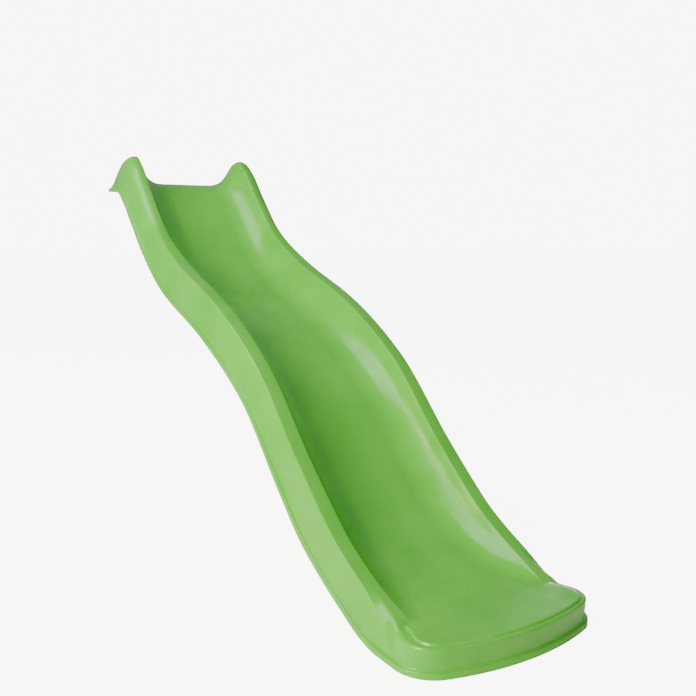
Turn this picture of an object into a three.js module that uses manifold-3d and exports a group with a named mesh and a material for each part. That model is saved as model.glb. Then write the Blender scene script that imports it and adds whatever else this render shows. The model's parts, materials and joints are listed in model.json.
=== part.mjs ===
// Toddler wave slide: one twin-wall plastic chute that hooks over a platform edge.
// Millimetres, +Z up. X is across the slide, the foot is at -Y, the platform end at +Y.
// Z = 0 is the ground under the foot and the origin is the middle of that ground rectangle.
import * as THREE from 'three';
import Module from 'manifold-3d';

// ---- driving dimensions -------------------------------------------------
const HALF_WIDTH = 224;        // to the outside of the bottom lip
const HALF_LENGTH = 851;       // from the middle to the foot and to the hook-over end
const WALL = 4;                // upper skin
const UNDER_WALL = 3.2;        // lower skin
const GAP = 0.8;               // between the two skins at the lip
const LIP_HEIGHT = 11;         // parting lip that runs round the bottom edge
const LIP_WIDTH = 7;
const RAIL_OUTER = 20;         // inset of the rail's outer edge from the lip
const RAIL_INNER = 54;         // inset of the rail's inner edge
const FLOOR_EDGE = 115;        // inset where the side wall has become the floor
const CORNER_R = 80;           // plan radius of the foot's corners
const FRONT_R = 560;           // plan radius of the slightly bowed front edge
const LEDGE_Z = 54;            // narrow ledge round the foot pad
const PAD_Z = 58.5;            // flat foot pad
const DISH = 3;                // how far the floor dips in the middle
const DECK_Z = 917;            // sitting surface at the platform
const DECK_UNDER_Z = 891;      // face that lies on the platform
const SCREW_X = 70;
const SCREW_Y = 806;

// Side view, each curve as [distance along, height]: only where its bends are.
const CREST = [[-851, 54], [-736, 54], [-716, 61], [-652, 85], [-593, 111], [-521, 151], [-444, 211],
  [-362, 282], [-179, 453], [37, 576], [297, 673], [400, 722], [486, 778], [605, 896], [672, 968],
  [717, 995], [752, 990], [806, 962], [851, 921]];
const FLOOR = [[-851, PAD_Z], [-736, PAD_Z], [-680, 60.5], [-600, 70], [-521, 94], [-444, 136],
  [-362, 200], [-179, 368], [37, 493], [297, 590], [400, 640], [486, 694], [605, 808], [672, 874],
  [722, 908], [765, DECK_Z], [851, DECK_Z]];
const EDGE = [[-851, 0], [-690, 0], [-640, 9], [-573, 37], [-498, 73], [-416, 121], [-329, 195],
  [-133, 374], [101, 494], [388, 600], [551, 711], [638, 793], [700, 849], [737, 877],
  [772, DECK_UNDER_Z - 0.5], [790, DECK_UNDER_Z], [851, DECK_UNDER_Z]];

// ---- small maths helpers ------------------------------------------------
const lerp = THREE.MathUtils.lerp;
const smooth = THREE.MathUtils.smoothstep;

// Smooth curve through the given points that never swings past a flat stretch.
function profile(points) {
  const n = points.length;
  const chord = i => (points[i + 1][1] - points[i][1]) / (points[i + 1][0] - points[i][0]);
  const slope = points.map((p, i) => {
    if (i === 0) return chord(0);
    if (i === n - 1) return chord(n - 2);
    const a = chord(i - 1), b = chord(i);
    return a * b <= 0 ? 0 : 2 * a * b / (a + b);
  });
  return y => {
    let i = 0;
    while (i < n - 2 && y > points[i + 1][0]) i++;
    const h = points[i + 1][0] - points[i][0];
    const t = THREE.MathUtils.clamp((y - points[i][0]) / h, 0, 1);
    const t2 = t * t, t3 = t2 * t;
    return (2 * t3 - 3 * t2 + 1) * points[i][1] + (t3 - 2 * t2 + t) * h * slope[i]
      + (3 * t2 - 2 * t3) * points[i + 1][1] + (t3 - t2) * h * slope[i + 1];
  };
}
const crest = profile(CREST), floor = profile(FLOOR), edge = profile(EDGE);
// Upright sizes grow on a slope, so that walls keep their thickness.
const steep = y => Math.min(1.45, Math.hypot(1, (floor(y + 6) - floor(y - 6)) / 12));

// ---- plan outline: side, rounded corner, bowed front --------------------
const FRONT_CY = -HALF_LENGTH + FRONT_R;
const CORNER_CX = HALF_WIDTH - CORNER_R;
const CORNER_CY = FRONT_CY - Math.sqrt((FRONT_R - CORNER_R) ** 2 - CORNER_CX ** 2);
const CORNER_END = Math.atan2(FRONT_CY - CORNER_CY, CORNER_CX);   // where the corner meets the front

// Path positions from the platform end down one side, round the foot and back up.
function pathPositions() {
  const left = [];
  const run = (from, to, n) => { for (let i = 0; i < n; i++) left.push({ y: lerp(from, to, i / n) }); };
  run(HALF_LENGTH, 717, 5);
  run(717, 540, 6);
  run(540, -600, 19);
  run(-600, CORNER_CY, 8);
  for (let i = 0; i < 5; i++) left.push({ y: CORNER_CY, turn: i / 4 });
  const front = [-0.66, -0.33, 0, 0.33, 0.66].map(f => ({ front: f }));
  return [...left.map(p => ({ ...p, side: -1 })), ...front,
    ...left.map(p => ({ ...p, side: 1 })).reverse()];
}
// Point of the outline at an inset from the lip.
function outline(p, inset) {
  const at = d => {
    if (p.front !== undefined) {
      const a = p.front * (Math.PI / 2 - CORNER_END);
      return [(FRONT_R - d) * Math.sin(a), FRONT_CY - (FRONT_R - d) * Math.cos(a)];
    }
    const a = (p.turn ?? 0) * CORNER_END;
    return [p.side * (CORNER_CX + (CORNER_R - d) * Math.cos(a)), p.y - (CORNER_R - d) * Math.sin(a)];
  };
  if (inset <= 28) return at(inset);
  // Further in, the outline eases into a small-cornered rectangle that ends on the foot pad.
  const [x, y] = at(28);
  const r = 24, w = HALF_WIDTH - FLOOR_EDGE;
  const cy = CORNER_CY + 4;
  let ix, iy;
  if (p.front !== undefined) { ix = p.front * (w - r); iy = cy - r - 3 * Math.cos(p.front * 1.5); }
  else {
    const a = (p.turn ?? 0) * Math.PI / 2;
    ix = p.side * (w - r + r * Math.cos(a));
    iy = (p.turn === undefined ? p.y + 4 * smooth(-p.y, 640, 740) : cy) - r * Math.sin(a);
  }
  const f = (inset - 28) / (FLOOR_EDGE - 28);
  return [lerp(x, ix, f), lerp(y, iy, f)];
}

// ---- skins --------------------------------------------------------------
// A sheet: rings that follow the outline, then floor columns between the two sides.
// ring(y) gives [inset, height] pairs from the outside in; middle(y, u) the floor height.
function sheet(ring, middle, thickness, facesUp) {
  const path = pathPositions();
  const K = path.length, R = ring(0).length;
  const rows = (K - 5) / 2, cols = 5;
  const pos = [], tri = [];
  for (const p of path) {
    const y0 = outline(p, 0)[1];
    for (const [inset, z] of ring(y0)) {
      const [x, y] = outline(p, inset);
      pos.push(x, y, z);
    }
  }
  const at = (k, r) => k * R + r;
  const quad = (a, b, c, d) => tri.push(a, b, c, a, c, d);
  for (let k = 0; k < K - 1; k++) for (let r = 0; r < R - 1; r++)
    quad(at(k, r), at(k + 1, r), at(k + 1, r + 1), at(k, r + 1));
  // floor rows: from the left inner ring to the right inner ring
  const inner = [];
  for (let j = 0; j < rows; j++) {
    const a = at(j, R - 1), b = at(K - 1 - j, R - 1), line = [a];
    for (let i = 1; i <= cols; i++) {
      const u = i / (cols + 1) * 2 - 1;
      if (j < rows - 1) {
        const f = (u + 1) / 2;
        line.push(pos.length / 3);
        const y = pos[a * 3 + 1];
        pos.push(lerp(pos[a * 3], pos[b * 3], f), y, middle(y, u));
      } else line.push(at(rows + i - 1, R - 1));
    }
    line.push(b);
    inner.push(line);
  }
  for (let j = 0; j < rows - 1; j++) for (let i = 0; i <= cols; i++)
    quad(inner[j][i], inner[j + 1][i], inner[j + 1][i + 1], inner[j][i + 1]);
  // second face, pushed in along the mean normal
  const n = pos.length / 3;
  const normal = Array.from({ length: n }, () => new THREE.Vector3());
  const faces = Array.from({ length: n }, () => []);
  const P = i => new THREE.Vector3(pos[i * 3], pos[i * 3 + 1], pos[i * 3 + 2]);
  for (let t = 0; t < tri.length; t += 3) {
    const [a, b, c] = [P(tri[t]), P(tri[t + 1]), P(tri[t + 2])];
    const f = b.clone().sub(a).cross(c.clone().sub(a));
    const unit = f.clone().normalize();
    [[tri[t], a, b, c], [tri[t + 1], b, c, a], [tri[t + 2], c, a, b]].forEach(([i, o, q, s]) => {
      const w = q.clone().sub(o).angleTo(s.clone().sub(o));
      normal[i].addScaledVector(unit, w);
      faces[i].push(unit);
    });
  }
  const push = facesUp ? -thickness : thickness;
  for (let i = 0; i < n; i++) {
    const v = normal[i].normalize();
    const mean = faces[i].reduce((s, f) => s + Math.max(0.3, f.dot(v)), 0) / faces[i].length;
    const q = P(i).addScaledVector(v, push / Math.max(0.75, mean));
    pos.push(q.x, q.y, q.z);
  }
  const count = tri.length;
  for (let t = 0; t < count; t += 3) tri.push(tri[t] + n, tri[t + 2] + n, tri[t + 1] + n);
  // rim between the two faces, along every edge used once
  const seen = new Map();
  for (let t = 0; t < count; t += 3) for (let e = 0; e < 3; e++) {
    const a = tri[t + e], b = tri[t + (e + 1) % 3];
    if (!seen.delete(`${b},${a}`)) seen.set(`${a},${b}`, [a, b]);
  }
  for (const [a, b] of seen.values()) tri.push(b, a, a + n, b, a + n, b + n);
  if (!facesUp) for (let t = 0; t < tri.length; t += 3) [tri[t + 1], tri[t + 2]] = [tri[t + 2], tri[t + 1]];
  const g = new THREE.BufferGeometry();
  g.setAttribute('position', new THREE.Float32BufferAttribute(pos, 3));
  g.setIndex(tri);
  return g;
}

// Upper skin section, one line per ring from the lip to the floor: [inset, height] on the chute,
// [inset, height] on the foot, and the stretch over which it turns from the one into the other.
// The rail's top tips outwards at its end and runs on as the foot's skirt.
function upperRing(y) {
  const c = crest(y), f = floor(y), e = edge(y), s = steep(y);
  const H = c - e, h = Math.max(1.5, c - f);
  return [
    [0, e, 0, 0, 640, 728],
    [0, e + LIP_HEIGHT * s, 0, LIP_HEIGHT, 640, 728],
    [LIP_WIDTH, e + (LIP_HEIGHT + 1.5) * s, LIP_WIDTH, LIP_HEIGHT + 1.5, 640, 728],
    [LIP_WIDTH + 6, e + H * 0.5, LIP_WIDTH + 0.3, 17, 640, 732],
    [RAIL_OUTER, c - Math.min(8, H * 0.25), LIP_WIDTH + 0.2, 21, 640, 732],
    [RAIL_OUTER + 2.5, c - 2, LIP_WIDTH - 0.5, 27, 640, 736],
    [27, c, 6, 40, 655, 760],
    [RAIL_INNER - 3, c, 5.5, 50, 700, 800],
    [RAIL_INNER + 3, c - Math.min(3, h * 0.2), 10, LEDGE_Z, 708, 800],
    [RAIL_INNER + 7, c - Math.min(11, h * 0.35), 14, LEDGE_Z, 708, 800],
    [76, f + h * 0.45, 16.5, PAD_Z - 1, 708, 800],
    [86, f + Math.min(16, h * 0.2), 22, PAD_Z, 708, 800],
    [98, f + Math.min(4, h * 0.06), 62, PAD_Z, 708, 800],
    [FLOOR_EDGE, f + 0.3, FLOOR_EDGE, PAD_Z, 708, 760],
  ].map(([d, z, footD, footZ, from, to]) => {
    const t = smooth(-y, from, to);
    return [lerp(d, footD, t), lerp(z, footZ, t)];
  });
}
const dish = (y, u) => DISH * (1 - u * u) * smooth(y, -740, -640) * (1 - smooth(y, 640, 740));
const upperFloor = (y, u) => floor(y) - dish(y, u);

// Lower skin: flat between the side boxes and raised to just under the floor in between.
const raise = y => smooth(y, -640, -560) * (1 - smooth(y, 640, 735));
const channel = y => lerp(edge(y), floor(y) - (WALL + 1.4 + UNDER_WALL) * steep(y), raise(y));
function lowerRing(y) {
  const e = edge(y), m = channel(y);
  return [[WALL + GAP, e], [26, e], [60, e], [76, e], [96, lerp(e, m, 0.9)], [FLOOR_EDGE, m]];
}
const lowerFloor = (y, u) => channel(y) - dish(y, u) * raise(y);

// ---- solids helper ------------------------------------------------------
const wasm = await Module();
wasm.setup();
function solid(geometry) {
  const g = geometry.clone();
  g.deleteAttribute('normal');
  g.deleteAttribute('uv');
  const pos = g.getAttribute('position').array;
  const idx = g.index ? g.index.array : null;
  const verts = [], map = new Map(), tri = [];
  const count = idx ? idx.length : pos.length / 3;
  for (let i = 0; i < count; i++) {
    const v = idx ? idx[i] : i;
    const key = [0, 1, 2].map(a => Math.round(pos[v * 3 + a] * 1e4)).join();
    if (!map.has(key)) { map.set(key, verts.length / 3); verts.push(pos[v * 3], pos[v * 3 + 1], pos[v * 3 + 2]); }
    tri.push(map.get(key));
  }
  return new wasm.Manifold(new wasm.Mesh({
    numProp: 3, vertProperties: new Float32Array(verts), triVerts: new Uint32Array(tri) }));
}
function toGeometry(body) {
  const m = body.getMesh();
  const g = new THREE.BufferGeometry();
  g.setAttribute('position', new THREE.Float32BufferAttribute(Array.from(m.vertProperties), 3));
  g.setIndex(Array.from(m.triVerts));
  return g;
}
const rod = (x, y, z0, z1, r, sides = 24) => solid(
  new THREE.CylinderGeometry(r, r, z1 - z0, sides).rotateX(Math.PI / 2).translate(x, y, (z0 + z1) / 2));

// ---- parts --------------------------------------------------------------
function chuteSkin() {
  let body = solid(sheet(upperRing, upperFloor, WALL, true));
  // end wall of the hook-over lip
  const ring = upperRing(HALF_LENGTH).map(([d, z]) => [HALF_WIDTH - d, z]);
  const half = ring.slice(0, 9);
  const shape = new THREE.Shape([...half, ...half.map(([x, z]) => [-x, z]).reverse()]
    .map(([x, z]) => new THREE.Vector2(x, z)));
  body = body.add(solid(new THREE.ExtrudeGeometry(shape, { depth: WALL, bevelEnabled: false })
    .rotateX(Math.PI / 2).translate(0, HALF_LENGTH, 0)));
  // recessed screw cups
  for (const x of [-SCREW_X, SCREW_X]) {
    body = body.add(rod(x, SCREW_Y, DECK_UNDER_Z + 4.4, DECK_Z - 1, 19));
    body = body.subtract(rod(x, SCREW_Y, DECK_UNDER_Z + 8.4, DECK_Z + 5, 15));
    body = body.subtract(rod(x, SCREW_Y, DECK_UNDER_Z - 5, DECK_Z + 5, 4, 16));
  }
  return toGeometry(body);
}
function underSkin() {
  let body = solid(sheet(lowerRing, lowerFloor, UNDER_WALL, false));
  // stop short of the upper skin's end wall
  body = body.subtract(solid(new THREE.BoxGeometry(600, 40, 200)
    .translate(0, HALF_LENGTH - WALL - GAP + 20, DECK_UNDER_Z)));
  for (const x of [-SCREW_X, SCREW_X]) body = body.subtract(rod(x, SCREW_Y, 880, 905, 4, 16));
  return toGeometry(body);
}
const lathe = (points, x, y, z, sides = 24) => new THREE.LatheGeometry(
  points.map(([r, h]) => new THREE.Vector2(r, h)), sides).rotateX(Math.PI / 2).translate(x, y, z);
const seat = DECK_UNDER_Z + 8.4;
// Pan-head screw with a cross recess left out; its shank ends flush above the rest face.
const screw = x => lathe([[0, 0.6 - 8.4], [2.6, 0.6 - 8.4], [3, 1.2 - 8.4], [3, 2.2], [6, 2.2], [6.2, 3.4],
  [5.2, 5.2], [3, 6.2], [0, 6.5]], x, SCREW_Y, seat, 20);
const washer = x => toGeometry(rod(x, SCREW_Y, seat + 0.3, seat + 1.9, 10)
  .subtract(rod(x, SCREW_Y, seat - 5, seat + 5, 3.4, 16)));
// Snap-in cap: a shallow dome with a thin skirt, flush with the deck.
const cap = x => lathe([[0, 16.4], [9, 16.2], [14, 15], [14.6, 13.6], [14.6, 8.6], [12.6, 8.6], [12.4, 12.4],
  [8, 13.6], [0, 14]].reverse(), x, SCREW_Y, seat);

const group = new THREE.Group();
function add(name, geometry, color, roughness, metalness) {
  geometry.computeVertexNormals();
  const mesh = new THREE.Mesh(geometry, new THREE.MeshStandardMaterial({ color, roughness, metalness }));
  mesh.name = name;
  group.add(mesh);
}
add('chute_skin', chuteSkin(), 0x7fbd5a, 0.45, 0);
add('under_skin', underSkin(), 0x74b04f, 0.5, 0);
for (const [side, x] of [['left', -SCREW_X], ['right', SCREW_X]]) {
  add(`deck_screw_${side}`, screw(x), 0xb9bec2, 0.35, 1);
  add(`deck_washer_${side}`, washer(x), 0xc4c8cb, 0.4, 1);
  add(`deck_cap_${side}`, cap(x), 0x6fa94b, 0.5, 0);
}
export default group;
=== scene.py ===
import json
import math

import bmesh
import bpy
import numpy as np
from mathutils import Matrix, Vector

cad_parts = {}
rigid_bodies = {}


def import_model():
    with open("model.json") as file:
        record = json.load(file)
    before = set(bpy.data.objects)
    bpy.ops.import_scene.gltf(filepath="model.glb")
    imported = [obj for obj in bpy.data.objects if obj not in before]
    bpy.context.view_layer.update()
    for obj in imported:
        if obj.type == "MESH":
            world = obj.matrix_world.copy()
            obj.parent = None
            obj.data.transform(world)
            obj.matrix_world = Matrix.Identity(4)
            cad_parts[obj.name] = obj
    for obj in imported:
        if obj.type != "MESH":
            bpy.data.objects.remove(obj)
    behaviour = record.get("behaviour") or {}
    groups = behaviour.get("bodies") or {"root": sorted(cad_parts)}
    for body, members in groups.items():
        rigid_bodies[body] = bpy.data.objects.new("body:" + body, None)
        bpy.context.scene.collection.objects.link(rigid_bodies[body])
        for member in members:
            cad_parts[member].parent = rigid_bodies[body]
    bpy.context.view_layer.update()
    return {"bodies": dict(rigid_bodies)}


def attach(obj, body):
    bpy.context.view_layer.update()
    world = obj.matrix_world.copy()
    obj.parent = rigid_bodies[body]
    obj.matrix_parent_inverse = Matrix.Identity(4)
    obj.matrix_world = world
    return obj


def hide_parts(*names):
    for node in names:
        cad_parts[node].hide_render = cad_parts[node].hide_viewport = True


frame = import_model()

MM = 0.001

# ------------------------------------------------------------------ camera
# In front of the foot and to its left, looking along the chute towards the platform.
camera = bpy.data.objects.new("camera", bpy.data.cameras.new("camera"))
camera.location = (-1.01006, -1.84862, 0.74647)
camera.rotation_euler = (math.radians(90 - 7.65), 0, math.radians(-32.18))
camera.data.sensor_width = 36
camera.data.lens = 42.67
bpy.context.scene.collection.objects.link(camera)
bpy.context.scene.camera = camera

# ------------------------------------------------------- driving dimensions
# Millimetres, in the CAD frame: X across, foot at -Y, platform at +Y, ground at Z = 0.
HALF_WIDTH, HALF_LENGTH = 224, 851
WALL, UNDER_WALL, GAP = 4, 3.2, 0.8
END_ROUND = 3                                                   # rounding of the platform end's edge
LIP_HEIGHT, LIP_WIDTH = 11, 7
RAIL_OUTER, RAIL_INNER, COVE, FLOOR_EDGE = 21, 54, 86, 150      # insets from the lip
CORNER_R, FRONT_R = 80, 560
LEDGE_Z, PAD_Z, DISH = 54, 58.5, 3
DECK_Z, DECK_UNDER_Z = 917, 891
SCREW_X, SCREW_Y = 70, 806
NOTCH = -716                                                    # where the rail's inner edge ends

CREST = [(-851, 54), (-736, 54), (-716, 61), (-652, 85), (-593, 111), (-521, 151), (-444, 211),
         (-362, 282), (-179, 453), (37, 576), (297, 673), (400, 722), (486, 778), (605, 896), (672, 968),
         (717, 995), (752, 990), (806, 962), (851, 921)]
FLOOR = [(-851, PAD_Z), (-736, PAD_Z), (-680, 60.5), (-600, 70), (-521, 94), (-444, 136),
         (-362, 200), (-179, 368), (37, 493), (297, 590), (400, 640), (486, 694), (605, 808), (672, 874),
         (722, 908), (765, DECK_Z), (851, DECK_Z)]
EDGE = [(-851, 0), (-690, 0), (-640, 9), (-573, 37), (-498, 73), (-416, 121), (-329, 195),
        (-133, 374), (101, 494), (388, 600), (551, 711), (638, 793), (700, 849), (737, 877),
        (772, DECK_UNDER_Z - 0.5), (790, DECK_UNDER_Z), (851, DECK_UNDER_Z)]


# ------------------------------------------------------------- small maths
def lerp(a, b, t):
    return a + (b - a) * t


def smooth(x, a, b):
    t = min(1.0, max(0.0, (x - a) / (b - a)))
    return t * t * (3 - 2 * t)


def profile(points):
    """A smooth curve through the points that never swings past a flat stretch."""
    n = len(points)
    chord = [(points[i + 1][1] - points[i][1]) / (points[i + 1][0] - points[i][0]) for i in range(n - 1)]
    inner = [0 if a * b <= 0 else 2 * a * b / (a + b) for a, b in zip(chord, chord[1:])]
    slope = [chord[0]] + inner + [chord[-1]]

    def at(y):
        i = 0
        while i < n - 2 and y > points[i + 1][0]:
            i += 1
        h = points[i + 1][0] - points[i][0]
        t = min(1.0, max(0.0, (y - points[i][0]) / h))
        t2, t3 = t * t, t * t * t
        return ((2 * t3 - 3 * t2 + 1) * points[i][1] + (t3 - 2 * t2 + t) * h * slope[i]
                + (3 * t2 - 2 * t3) * points[i + 1][1] + (t3 - t2) * h * slope[i + 1])
    return at


crest, floor, edge = profile(CREST), profile(FLOOR), profile(EDGE)


def steep(y):
    """Upright sizes grow on a slope, so that walls keep their thickness."""
    return min(1.45, math.hypot(1, (floor(y + 6) - floor(y - 6)) / 12))


# ------------------------------------------------------------ plan outline
FRONT_CY = -HALF_LENGTH + FRONT_R
CORNER_CX = HALF_WIDTH - CORNER_R
CORNER_CY = FRONT_CY - math.sqrt((FRONT_R - CORNER_R) ** 2 - CORNER_CX ** 2)
CORNER_END = math.atan2(FRONT_CY - CORNER_CY, CORNER_CX)
STRAIGHT, TURN, FRONT = range(3)


def outline(station, inset):
    """Plan point at an inset from the lip: down the side, round the corner, along the bowed front."""
    kind, value, side = station

    def at(d):
        if kind == FRONT:
            a = value * (math.pi / 2 - CORNER_END)
            return (FRONT_R - d) * math.sin(a), FRONT_CY - (FRONT_R - d) * math.cos(a)
        a = value * CORNER_END if kind == TURN else 0
        y = value if kind == STRAIGHT else CORNER_CY
        return side * (CORNER_CX + (CORNER_R - d) * math.cos(a)), y - (CORNER_R - d) * math.sin(a)

    if inset <= 28:
        return at(inset)
    # Further in, the outline eases into a small-cornered rectangle that ends on the foot pad.
    x, y = at(28)
    r, w, cy = 24, HALF_WIDTH - FLOOR_EDGE, CORNER_CY + 4
    if kind == FRONT:
        ix, iy = value * (w - r), cy - r - 3 * math.cos(value * 1.5)
    else:
        a = value * math.pi / 2 if kind == TURN else 0
        ix = side * (w - r + r * math.cos(a))
        iy = (value + 4 * smooth(-value, 640, 740) if kind == STRAIGHT else cy) - r * math.sin(a)
    f = (inset - 28) / (FLOOR_EDGE - 28)
    return lerp(x, ix, f), lerp(y, iy, f)


def stations(fine):
    """From the platform end down the left side, round the foot and back up the right side."""
    left = []

    def run(a, b, step):
        n = max(1, round(abs(b - a) / step * fine))
        left.extend((STRAIGHT, lerp(a, b, i / n), -1) for i in range(n))
    run(HALF_LENGTH - END_ROUND, 600, 6)
    run(600, -600, 8)
    run(-600, -680, 4)
    run(-680, CORNER_CY, 2)
    turns = round(26 * fine)
    left.extend((TURN, i / turns, -1) for i in range(turns + 1))
    n = round(60 * fine)
    front = [(FRONT, i / n * 2 - 1, 1) for i in range(1, n)]
    return left, front


# -------------------------------------------------------------- sections
def upper_section(y):
    """Corners of the upper skin from the lip inwards: (inset, height, rounding radius)."""
    c, f, e, s = crest(y), floor(y), edge(y), steep(y)
    h = max(0.5, c - f)
    d = -y
    soft = smooth(y, 300, 620)                      # the ears are rounder than the rails
    # The rail's outer edge sinks into the lip in a crescent.
    w = min(1.0, max(0.0, (d - 606) / 122))
    sink = 1 - (1 - w * w) ** 0.6
    # The rail's inner edge ends at a small jog, and goes on as the edge of the foot pad.
    jog = smooth(d, -NOTCH - 1, -NOTCH + 6)
    out = smooth(d, -NOTCH + 2, 838)
    inner = lerp(lerp(RAIL_INNER + 6 * smooth(d, 640, 714), 43, jog), 11, out)
    ledge = smooth(d, -NOTCH - 8, -NOTCH + 18)
    skirt = smooth(d, 650, 815)
    foot = smooth(d, -NOTCH - 8, -NOTCH + 22)
    groove = LIP_HEIGHT + 1.5
    corners = [
        (0, e, 0.8),
        (0, e + LIP_HEIGHT * s, 2.4),
        (LIP_WIDTH, e + groove * s, 3),
        (lerp(lerp(RAIL_OUTER, 18, soft), LIP_WIDTH, sink), lerp(c, groove + 5, sink), lerp(3.2, 36, soft)),
        (lerp(lerp(38, 46, soft), 4.5, skirt), lerp(c + 0.4, LEDGE_Z, foot), lerp(20, 4.5, skirt)),
        (inner, lerp(c, LEDGE_Z, ledge), lerp(lerp(3.4, 5, soft), 2.2, ledge)),
        (lerp(RAIL_INNER + 8, inner + 2, jog), lerp(c - 0.25 * h, PAD_Z, ledge), lerp(2, 2.5, ledge)),
        (lerp(COVE, inner + 20, foot), lerp(f, PAD_Z, foot), 90),
        (FLOOR_EDGE, lerp(f, PAD_Z, foot), 0),
    ]
    return corners


def channel(y):
    t = smooth(y, -640, -560) * (1 - smooth(y, 640, 735))
    return lerp(edge(y), floor(y) - (WALL + 1.4 + UNDER_WALL) * steep(y), t), t


def lower_section(y):
    e, (m, t) = edge(y), channel(y)
    return [(WALL + GAP, e, 0), (40, e, 0), (76, e, 12), (100, m, 14), (FLOOR_EDGE, m, 0)]


def offset_corners(corners, wall, rise):
    """The same corners on the other face of the wall, mitred."""
    p = np.array([(a, b) for a, b, _ in corners], float)
    seg = np.diff(p, axis=0)
    seg /= np.maximum(np.linalg.norm(seg, axis=1, keepdims=True), 1e-6)
    normal = np.stack([seg[:, 1], -seg[:, 0]], axis=1)
    out = []
    for i, (a, b, r) in enumerate(corners):
        if i in (0, len(corners) - 1):
            n = normal[0] if i == 0 else normal[-1]
            m = np.array([1.0, 0.0]) if i == 0 and abs(seg[0][1]) > 0.5 else n
            turn = 0
        else:
            n1, n2 = normal[i - 1], normal[i]
            m = (n1 + n2) / max(0.35, 1 + n1 @ n2)
            turn = seg[i - 1][0] * seg[i][1] - seg[i - 1][1] * seg[i][0]
        r2 = 0 if r == 0 else max(0.6, r + (wall if turn > 0 else -wall))
        out.append((a + m[0] * wall, b + m[1] * wall * rise, r2))
    return out


def rounded(corners, arc, flats):
    """The section with each corner turned into an arc, always with the same number of points."""
    p = np.array([(a, b) for a, b, _ in corners], float)
    r = [c[2] for c in corners]
    lengths = np.linalg.norm(np.diff(p, axis=0), axis=1)
    cut = [0.0] * len(p)
    for i in range(1, len(p) - 1):
        u, v = (p[i] - p[i - 1]) / max(lengths[i - 1], 1e-6), (p[i + 1] - p[i]) / max(lengths[i], 1e-6)
        cut[i] = r[i] * math.tan(min(math.acos(min(1, max(-1, u @ v))), 2.6) / 2)
    for _ in range(3):
        for i in range(len(p) - 1):
            over = (cut[i] + cut[i + 1]) / max(0.97 * lengths[i], 1e-6)
            if over > 1:
                cut[i], cut[i + 1] = cut[i] / over, cut[i + 1] / over
    points = [p[0]]
    for i in range(1, len(p)):
        if i < len(p) - 1:
            u, v = (p[i] - p[i - 1]) / max(lengths[i - 1], 1e-6), (p[i + 1] - p[i]) / max(lengths[i], 1e-6)
            a, b = p[i] - u * cut[i], p[i] + v * cut[i]
            w = math.sqrt(max(0.02, (1 + u @ v) / 2))
        else:
            a = b = p[i]
        for k in range(1, flats[i - 1] + 1):
            start = points_end if i > 1 else p[0]
            points.append(lerp(start, a, k / (flats[i - 1] + 1)))
        points.append(a)
        if i < len(p) - 1:
            for k in range(1, arc[i - 1] + 1):
                t = k / arc[i - 1]
                q = (1 - t) ** 2, 2 * w * t * (1 - t), t * t
                points.append((q[0] * a + q[1] * p[i] + q[2] * b) / sum(q))
        points_end = b
    return np.array(points)


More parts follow.
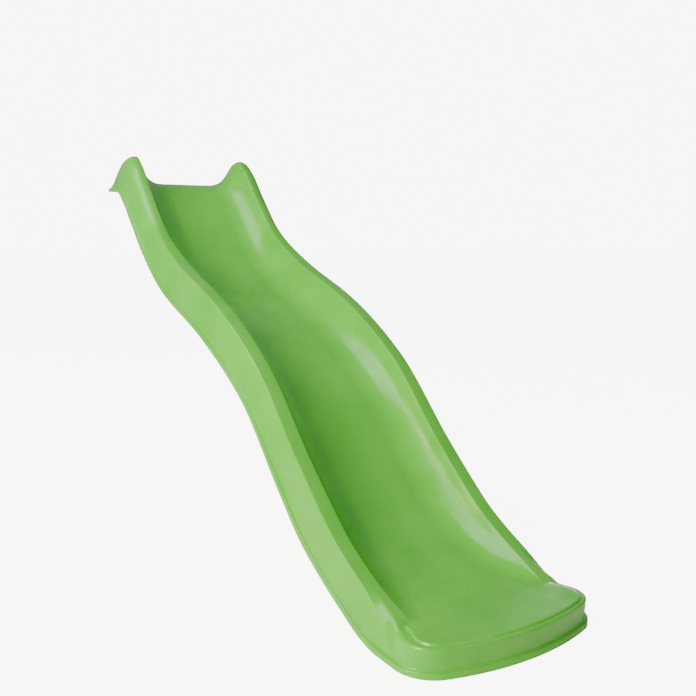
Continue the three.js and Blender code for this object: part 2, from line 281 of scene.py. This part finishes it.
# ----------------------------------------------------------------- sheets
def sheet_mesh(name, section, middle, wall, up, arc, flats, fine, end_cap):
    """The visible face of one skin. Each point also carries the way to the other face of its wall."""
    left, front = stations(fine)
    right = [(k, v, 1) for k, v, _ in left][::-1]
    path = left + front + right
    points, inward, rows = [], [], []
    cache = {}
    for station in path:
        y0 = outline(station, 0)[1]
        key = round(y0, 6)
        if key not in cache:
            outer = section(y0)
            inner = offset_corners(outer, wall if up else -wall, steep(y0))
            cache[key] = rounded(outer, arc, flats), rounded(inner, arc, flats)
        a, b = cache[key]
        row = []
        for (d, z), (d2, z2) in zip(a, b):
            x, y = outline(station, d)
            if d2 <= d or abs(d2 - d) < 1e-6:
                x1, y1 = outline(station, d + 0.5)
                k = (d2 - d) / 0.5
                dx, dy = (x1 - x) * k, (y1 - y) * k
            else:
                x2, y2 = outline(station, d2)
                dx, dy = x2 - x, y2 - y
            row.append(len(points))
            points.append((x, y, z))
            inward.append((dx, dy, z2 - z))
        rows.append(row)
    faces = []

    def quad(a, b, c, d):
        loop = [a, b, c, d] if up else [d, c, b, a]
        if len(set(loop)) > 2:
            faces.append(loop)
    for r1, r2 in zip(rows, rows[1:]):
        for i in range(len(r1) - 1):
            quad(r1[i], r2[i], r2[i + 1], r1[i + 1])
    # the floor between the two sides
    count = len(left)
    last = [row[-1] for row in rows[count - 1:count + len(front) + 1]]
    cols = len(front) + 1
    lines = []
    for j in range(count):
        a, b = rows[j][-1], rows[-1 - j][-1]
        if j == count - 1:
            lines.append(last)
            continue
        line = [a]
        for i in range(1, cols):
            u = i / cols * 2 - 1
            x, y = lerp(points[a][0], points[b][0], i / cols), points[a][1]
            line.append(len(points))
            points.append((x, y, middle(y, u)))
            inward.append((0, 0, (-wall if up else wall) * steep(y)))
        line.append(b)
        lines.append(line)
    for l1, l2 in zip(lines, lines[1:]):
        for i in range(cols):
            quad(l1[i], l2[i], l2[i + 1], l1[i + 1])
    if end_cap:
        # The platform end: a small rounding, then a flat wall down to the lip.
        loop = rows[0] + lines[0][1:-1] + rows[-1][::-1]
        before = loop
        for k in range(1, 5):
            a = k / 4 * math.pi / 2
            ring = []
            for i in loop:
                v = np.array(inward[i])
                ring.append(len(points))
                place = np.array(points[i]) + v / wall * END_ROUND * (1 - math.cos(a))
                points.append(tuple(place + np.array([0, END_ROUND * math.sin(a), 0])))
                inward.append(tuple(v * math.cos(a) + np.array([0, -wall, 0]) * math.sin(a)))
            for i in range(len(loop) - 1):
                quad(ring[i], before[i], before[i + 1], ring[i + 1])
            before = ring
        for k in range(1, 4):
            ring = []
            for i in before if k == 1 else top:
                x, y, z = points[i]
                ring.append(len(points))
                points.append((x, y, lerp(z, DECK_UNDER_Z, k / 3)))
                inward.append((0, -wall, 0))
            if k == 1:
                top, prev = before, before
            for i in range(len(ring) - 1):
                quad(ring[i], prev[i], prev[i + 1], ring[i + 1])
            prev = ring
    mesh = bpy.data.meshes.new(name)
    mesh.from_pydata([tuple(c * MM for c in p) for p in points], [], faces)
    way = mesh.attributes.new("wall_way", "FLOAT_VECTOR", "POINT")
    way.data.foreach_set("vector", (np.array(inward, float) * MM).ravel())
    return mesh


# ---------------------------------------------------------- geometry nodes
def add(tree, kind, settings=None, **links):
    """One node with its settings and its links; a link is a socket, and anything else is a value."""
    node = tree.nodes.new(kind)
    for key, value in (settings or {}).items():
        setattr(node, key, value)
    for key, value in links.items():
        name = key.replace("_", " ")
        socket = next(s for s in node.inputs if s.enabled and s.name == name or s.identifier == key)
        if isinstance(value, bpy.types.NodeSocket):
            tree.links.new(value, socket)
        else:
            socket.default_value = value
    return node


def wall_tree():
    """A wall from its visible face: the face, the other face pushed along wall_way, and the rim between."""
    tree = bpy.data.node_groups.new("moulded_wall", "GeometryNodeTree")
    tree.interface.new_socket("Geometry", in_out="INPUT", socket_type="NodeSocketGeometry")
    share = tree.interface.new_socket("Wall share", in_out="INPUT", socket_type="NodeSocketFloat")
    share.default_value = 1
    tree.interface.new_socket("Material", in_out="INPUT", socket_type="NodeSocketMaterial")
    tree.interface.new_socket("Geometry", in_out="OUTPUT", socket_type="NodeSocketGeometry")
    inp = tree.nodes.new("NodeGroupInput")
    pushed = add(tree, "GeometryNodeExtrudeMesh", {"mode": "FACES"}, Mesh=inp.outputs["Geometry"],
                 Offset_Scale=0.0, Individual=False)
    way = add(tree, "GeometryNodeInputNamedAttribute", {"data_type": "FLOAT_VECTOR"}, Name="wall_way")
    offset = tree.nodes.new("ShaderNodeVectorMath")
    offset.operation = "SCALE"
    tree.links.new(way.outputs[0], offset.inputs[0])
    tree.links.new(inp.outputs["Wall share"], offset.inputs["Scale"])
    moved = add(tree, "GeometryNodeSetPosition", None, Geometry=pushed.outputs["Mesh"],
                Selection=pushed.outputs["Top"], Offset=offset.outputs[0])
    turned = add(tree, "GeometryNodeFlipFaces", None, Mesh=moved.outputs[0])
    both = tree.nodes.new("GeometryNodeJoinGeometry")
    tree.links.new(turned.outputs[0], both.inputs[0])
    tree.links.new(inp.outputs["Geometry"], both.inputs[0])
    merged = add(tree, "GeometryNodeMergeByDistance", None, Geometry=both.outputs[0], Distance=0.00002)
    smooth_faces = add(tree, "GeometryNodeSetShadeSmooth", None, Geometry=merged.outputs[0])
    real = add(tree, "GeometryNodeRealizeInstances", None, Geometry=smooth_faces.outputs[0])
    done = add(tree, "GeometryNodeSetMaterial", None, Geometry=real.outputs[0],
               Material=inp.outputs["Material"])
    out = tree.nodes.new("NodeGroupOutput")
    tree.links.new(done.outputs[0], out.inputs[0])
    return tree


def pair_tree():
    """The same small piece at two or more places across the slide, a spacing apart."""
    tree = bpy.data.node_groups.new("deck_pair", "GeometryNodeTree")
    tree.interface.new_socket("Geometry", in_out="INPUT", socket_type="NodeSocketGeometry")
    for name, value in (("Count", 2), ("Spacing", 0.14), ("Along", 0.806), ("Height", 0.9)):
        kind = "NodeSocketInt" if name == "Count" else "NodeSocketFloat"
        tree.interface.new_socket(name, in_out="INPUT", socket_type=kind).default_value = value
    tree.interface.new_socket("Material", in_out="INPUT", socket_type="NodeSocketMaterial")
    tree.interface.new_socket("Geometry", in_out="OUTPUT", socket_type="NodeSocketGeometry")
    inp = tree.nodes.new("NodeGroupInput")
    half = add(tree, "ShaderNodeMath", {"operation": "MULTIPLY"})
    tree.links.new(inp.outputs["Spacing"], half.inputs[0])
    half.inputs[1].default_value = -0.5
    start = tree.nodes.new("ShaderNodeCombineXYZ")
    tree.links.new(half.outputs[0], start.inputs[0])
    tree.links.new(inp.outputs["Along"], start.inputs[1])
    tree.links.new(inp.outputs["Height"], start.inputs[2])
    step = tree.nodes.new("ShaderNodeCombineXYZ")
    tree.links.new(inp.outputs["Spacing"], step.inputs[0])
    line = add(tree, "GeometryNodeMeshLine", {"mode": "OFFSET"}, Count=inp.outputs["Count"],
               Start_Location=start.outputs[0], Offset=step.outputs[0])
    copies = add(tree, "GeometryNodeInstanceOnPoints", None, Points=line.outputs[0],
                 Instance=inp.outputs["Geometry"])
    real = add(tree, "GeometryNodeRealizeInstances", None, Geometry=copies.outputs[0])
    done = add(tree, "GeometryNodeSetMaterial", None, Geometry=real.outputs[0],
               Material=inp.outputs["Material"])
    out = tree.nodes.new("NodeGroupOutput")
    tree.links.new(done.outputs[0], out.inputs[0])
    return tree


def made_by(tree, name, mesh, **values):
    """The tree's result on a mesh, as a plain mesh object with no modifier left."""
    obj = bpy.data.objects.new(name, mesh)
    bpy.context.scene.collection.objects.link(obj)
    modifier = obj.modifiers.new("build", "NODES")
    modifier.node_group = tree
    names = {s.name: s.identifier for s in tree.interface.items_tree if s.in_out == "INPUT"}
    for key, value in values.items():
        modifier[names[key.replace("_", " ")]] = value
    seen = obj.evaluated_get(bpy.context.evaluated_depsgraph_get())
    plain = bpy.data.meshes.new_from_object(seen)
    plain.name = name
    obj.modifiers.remove(modifier)
    obj.data = plain
    return obj


# -------------------------------------------------------------- materials
def srgb(text):
    """A colour written as sRGB hex, as the linear colour that a socket takes."""
    v = [int(text[i:i + 2], 16) / 255 for i in (1, 3, 5)]
    return tuple(c / 12.92 if c <= 0.04045 else ((c + 0.055) / 1.055) ** 2.4 for c in v) + (1.0,)


def new_material(name, ior, metallic, roughness):
    material = bpy.data.materials.new(name)
    material.use_nodes = True
    shader = material.node_tree.nodes["Principled BSDF"]
    if ior:
        shader.inputs["IOR"].default_value = ior
    shader.inputs["Metallic"].default_value = metallic
    shader.inputs["Roughness"].default_value = roughness
    return material, material.node_tree, shader


def moulded_polyethylene(name, body, pale, deep, roughness):
    """Polyethylene from a polished mould: semi-gloss, with slow waves in its shine where the skin
    cooled unevenly, a fine grain from the mould, cloudy pigment and hair scratches down the run."""
    material, tree, shader = new_material(name, 1.52, 0, roughness)
    where = tree.nodes.new("ShaderNodeTexCoord").outputs["Object"]
    # cloudy pigment, patches about 120 mm across
    clouds = add(tree, "ShaderNodeTexNoise", None, Vector=where, Scale=8.0, Detail=3.0, Roughness=0.55)
    tint = add(tree, "ShaderNodeValToRGB", None, Fac=clouds.outputs["Fac"])
    ramp = tint.color_ramp
    ramp.elements[0].position, ramp.elements[0].color = 0.34, srgb(deep)
    ramp.elements[1].position, ramp.elements[1].color = 0.68, srgb(pale)
    ramp.elements.new(0.5).color = srgb(body)
    tree.links.new(tint.outputs[0], shader.inputs["Base Color"])
    # waves in the surface: 90 mm apart and a few tenths of a millimetre deep
    stretch = add(tree, "ShaderNodeMapping", None, Vector=where, Scale=(1.4, 0.7, 0.7))
    waves = add(tree, "ShaderNodeTexNoise", None, Vector=stretch.outputs[0], Scale=11.0, Detail=1.0,
                Roughness=0.4)
    swell = add(tree, "ShaderNodeBump", None, Height=waves.outputs["Fac"], Strength=0.5, Distance=0.0035)
    # mould grain: 1.2 mm, drawn at 2.5 mm so that it shows
    grain = add(tree, "ShaderNodeTexNoise", None, Vector=where, Scale=400.0, Detail=2.0)
    fine = add(tree, "ShaderNodeBump", None, Height=grain.outputs["Fac"], Strength=0.06, Distance=0.0004,
               Normal=swell.outputs[0])
    # hair scratches down the run: 0.4 mm wide and 60 mm long, drawn at 1 mm
    drawn = add(tree, "ShaderNodeMapping", None, Vector=where, Scale=(1.0, 0.02, 0.05))
    scratch = add(tree, "ShaderNodeTexNoise", None, Vector=drawn.outputs[0], Scale=900.0, Detail=2.0)
    gate = add(tree, "ShaderNodeMapRange", None, Value=scratch.outputs["Fac"], From_Min=0.62, From_Max=0.72)
    worn = add(tree, "ShaderNodeTexNoise", None, Vector=where, Scale=14.0, Detail=2.0)
    shine = add(tree, "ShaderNodeMapRange", None, Value=worn.outputs["Fac"], From_Min=0.3, From_Max=0.7,
                To_Min=roughness - 0.05, To_Max=roughness + 0.07)
    rough = tree.nodes.new("ShaderNodeMath")
    rough.operation = "MULTIPLY_ADD"
    tree.links.new(gate.outputs[0], rough.inputs[0])
    rough.inputs[1].default_value = 0.1
    tree.links.new(shine.outputs[0], rough.inputs[2])
    tree.links.new(rough.outputs[0], shader.inputs["Roughness"])
    tree.links.new(fine.outputs[0], shader.inputs["Normal"])
    # a little light goes into the plastic and comes out beside
    shader.inputs["Subsurface Weight"].default_value = 0.12
    shader.inputs["Subsurface Radius"].default_value = (0.6, 1.0, 0.35)
    shader.inputs["Subsurface Scale"].default_value = 0.004
    return material


def zinc_plated_steel(name, roughness):
    """Zinc-plated steel, passivated: a cool, slightly clouded metal with a faint cloudy bump in its surface.
    """
    material, tree, shader = new_material(name, None, 1, roughness)
    where = tree.nodes.new("ShaderNodeTexCoord").outputs["Object"]
    clouds = add(tree, "ShaderNodeTexNoise", None, Vector=where, Scale=260.0, Detail=4.0)
    tint = add(tree, "ShaderNodeValToRGB", None, Fac=clouds.outputs["Fac"])
    tint.color_ramp.elements[0].position, tint.color_ramp.elements[0].color = 0.35, srgb("#9EA4A8")
    tint.color_ramp.elements[1].position, tint.color_ramp.elements[1].color = 0.7, srgb("#C6CBCE")
    tree.links.new(tint.outputs[0], shader.inputs["Base Color"])
    bump = add(tree, "ShaderNodeBump", None, Height=clouds.outputs["Fac"], Strength=0.15, Distance=0.0001)
    tree.links.new(bump.outputs[0], shader.inputs["Normal"])
    return material


chute_plastic = moulded_polyethylene("moulded_polyethylene_lime", "#54B537", "#5ABA3D", "#4EB031", 0.2)
under_plastic = moulded_polyethylene("moulded_polyethylene_lime_satin", "#48A936", "#4EAF3C", "#41A030", 0.4)
# The caps' greens are set a little darker than the chute's. This is painted shade that stands for the shadow
# in the recess each cap closes.
cap_plastic = moulded_polyethylene("moulded_polyethylene_cap_painted_shade", "#45A334", "#4BA93A", "#3E9A2E", 0.36)
zinc = zinc_plated_steel("zinc_plated_steel", 0.36)

# ------------------------------------------------------------------ skins
wall, pair = wall_tree(), pair_tree()


def dish(y, u):
    return DISH * (1 - u * u) ** 2 * smooth(y, -740, -640) * (1 - smooth(y, 640, 740))


face = sheet_mesh("chute_shell", upper_section, lambda y, u: floor(y) - dish(y, u), WALL, True,
                  arc=(3, 3, 6, 6, 5, 4, 8), flats=(0, 1, 4, 1, 1, 0, 1, 2), fine=1.0, end_cap=True)
chute = made_by(wall, "chute_shell", face, Material=chute_plastic)
under_face = sheet_mesh("under_shell", lower_section, lambda y, u: channel(y)[0] - dish(y, u) * channel(y)[1],
                        UNDER_WALL, False, arc=(2, 5, 5), flats=(1, 1, 2, 1), fine=0.5, end_cap=False)
under = made_by(wall, "under_shell", under_face, Material=under_plastic)


def lathe(name, points, sides=64):
    """A turned piece about its own axis, from (radius, height) points in millimetres."""
    bm = bmesh.new()
    ring = [bm.verts.new((r * MM, 0, z * MM)) for r, z in points]
    edges = [bm.edges.new(pair) for pair in zip(ring, ring[1:])]
    bmesh.ops.spin(bm, geom=ring + edges, axis=(0, 0, 1), cent=(0, 0, 0), dvec=(0, 0, 0),
                   angle=math.tau, steps=sides, use_merge=True, use_duplicate=False)
    bmesh.ops.remove_doubles(bm, verts=bm.verts, dist=1e-6)
    bmesh.ops.recalc_face_normals(bm, faces=bm.faces)
    mesh = bpy.data.meshes.new(name)
    bm.to_mesh(mesh)
    bm.free()
    return mesh


def cut(target, mesh, operation):
    tool = bpy.data.objects.new("tool", mesh)
    bpy.context.scene.collection.objects.link(tool)
    modifier = target.modifiers.new("cut", "BOOLEAN")
    modifier.operation, modifier.object, modifier.solver = operation, tool, "MANIFOLD"
    seen = target.evaluated_get(bpy.context.evaluated_depsgraph_get())
    plain = bpy.data.meshes.new_from_object(seen)
    target.modifiers.remove(modifier)
    target.data = plain
    bpy.data.objects.remove(tool)


SEAT = DECK_UNDER_Z + 8.4
for x in (-SCREW_X, SCREW_X):
    for operation, points in (
            ("UNION", [(0, SEAT - 4), (18.4, SEAT - 4), (19, SEAT - 3.4), (19, DECK_Z - 1), (0, DECK_Z - 1)]),
            ("DIFFERENCE", [(0, SEAT), (14.4, SEAT), (15, SEAT + 0.6), (15, DECK_Z - 0.8),
                            (16.2, DECK_Z + 0.5), (16.2, DECK_Z + 5), (0, DECK_Z + 5)]),
            ("DIFFERENCE", [(0, SEAT - 9), (4, SEAT - 9), (4, SEAT + 4), (0, SEAT + 4)])):
        tool = lathe("tool", points)
        tool.transform(Matrix.Translation((x * MM, SCREW_Y * MM, 0)))
        cut(chute, tool, operation)

# -------------------------------------------------------------- fasteners
screw_mesh = lathe("deck_screws", [(0, -7.8), (2.4, -7.8), (3, -7.2), (3, 2.2), (5.8, 2.2), (6.15, 2.6),
                                   (6.2, 3.4), (5.9, 4.4), (5.2, 5.3), (4.2, 5.9), (3, 6.3), (0, 6.5)], 48)
screws = made_by(pair, "deck_screws", screw_mesh, Height=SEAT * MM, Material=zinc)
washer_mesh = lathe("deck_washers", [(3.4, 0.3), (9.7, 0.3), (10, 0.6), (10, 1.6), (9.7, 1.9), (3.4, 1.9),
                                     (3.4, 0.3)], 64)
washers = made_by(pair, "deck_washers", washer_mesh, Height=SEAT * MM, Material=zinc)
cap_mesh = lathe("deck_caps", [(0, 16.4), (6, 16.35), (10, 16.1), (12.6, 15.6), (14, 15), (14.5, 14.3),
                               (14.6, 13.6), (14.6, 8.9), (14.3, 8.6), (12.6, 8.6), (12.4, 12.4), (8, 13.6),
                               (0, 14)], 72)
caps = made_by(pair, "deck_caps", cap_mesh, Height=SEAT * MM, Material=cap_plastic)

for piece, nodes, slot in (
        (chute, ["chute_skin"], "chute_plastic"),
        (under, ["under_skin"], "under_plastic"),
        (screws, ["deck_screw_left", "deck_screw_right"], "zinc_steel"),
        (washers, ["deck_washer_left", "deck_washer_right"], "zinc_steel"),
        (caps, ["deck_cap_left", "deck_cap_right"], "cap_plastic")):
    if "wall_way" in piece.data.attributes:
        piece.data.attributes.remove(piece.data.attributes["wall_way"])
    piece.data.shade_smooth()
    piece.data.set_sharp_from_angle(angle=math.radians(38))
    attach(piece, next(iter(frame["bodies"])))
    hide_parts(*nodes)

# ------------------------------------------------------------------ studio
plane = bpy.data.meshes.new("studio_floor")
plane.from_pydata([(-30, -30, 0), (30, -30, 0), (30, 30, 0), (-30, 30, 0)], [], [(0, 1, 2, 3)])
studio_floor = bpy.data.objects.new("studio_floor", plane)
studio_floor.location.z = -0.0005
bpy.context.scene.collection.objects.link(studio_floor)
pale, _, floor_shader = new_material("matt_painted_floor", 1.45, 0, 0.9)
floor_shader.inputs["Base Color"].default_value = srgb("#F4F4F2")
floor_shader.inputs["Emission Color"].default_value = srgb("#FFFFFF")
glow = pale.node_tree.nodes.new("ShaderNodeLightPath")
lift = add(pale.node_tree, "ShaderNodeMapRange", None, Value=glow.outputs["Is Camera Ray"],
           To_Min=0.0, To_Max=7.5)
pale.node_tree.links.new(lift.outputs[0], floor_shader.inputs["Emission Strength"])
plane.materials.append(pale)

world = bpy.data.worlds.new("studio")
bpy.context.scene.world = world
world.use_nodes = True
sky = world.node_tree
seen_directly = sky.nodes.new("ShaderNodeLightPath").outputs["Is Camera Ray"]
level = add(sky, "ShaderNodeMapRange", None, Value=seen_directly, To_Min=0.3, To_Max=8.0)
sky.links.new(level.outputs[0], sky.nodes["Background"].inputs["Strength"])
sky.nodes["Background"].inputs["Color"].default_value = srgb("#FFFFFF")


def softbox(name, place, aim, size, power, colour):
    light = bpy.data.lights.new(name, "AREA")
    light.shape, light.size, light.size_y = "RECTANGLE", *size
    light.energy = power
    light.color = srgb(colour)[:3]
    lamp = bpy.data.objects.new(name, light)
    lamp.location = place
    way = Vector(aim) - lamp.location
    lamp.rotation_euler = way.to_track_quat("-Z", "Y").to_euler()
    bpy.context.scene.collection.objects.link(lamp)
    return lamp


softbox("key", (-3.2, -1.0, 1.6), (0, 0, 0.45), (1.6, 1.6), 220, "#FFEBA6")
softbox("top_left", (-1.7, 0.2, 3.3), (0, 0, 0.4), (2.0, 2.6), 75, "#FFFFFF")
softbox("fill", (0.6, -3.4, 1.5), (0, -0.3, 0.3), (1.2, 1.2), 7, "#F4FBFF")
# A wide low panel behind and to the right lights the edges; it is linked to the slide's pieces only.
edge_light = softbox("edge_light", (3.4, 2.7, 0.8), (0, 0, 0.5), (2.8, 1.0), 60, "#FFFFFF")
lit = bpy.data.collections.new("edge_light_receivers")
for piece in (chute, under, screws, washers, caps):
    lit.objects.link(piece)
edge_light.light_linking.receiver_collection = lit
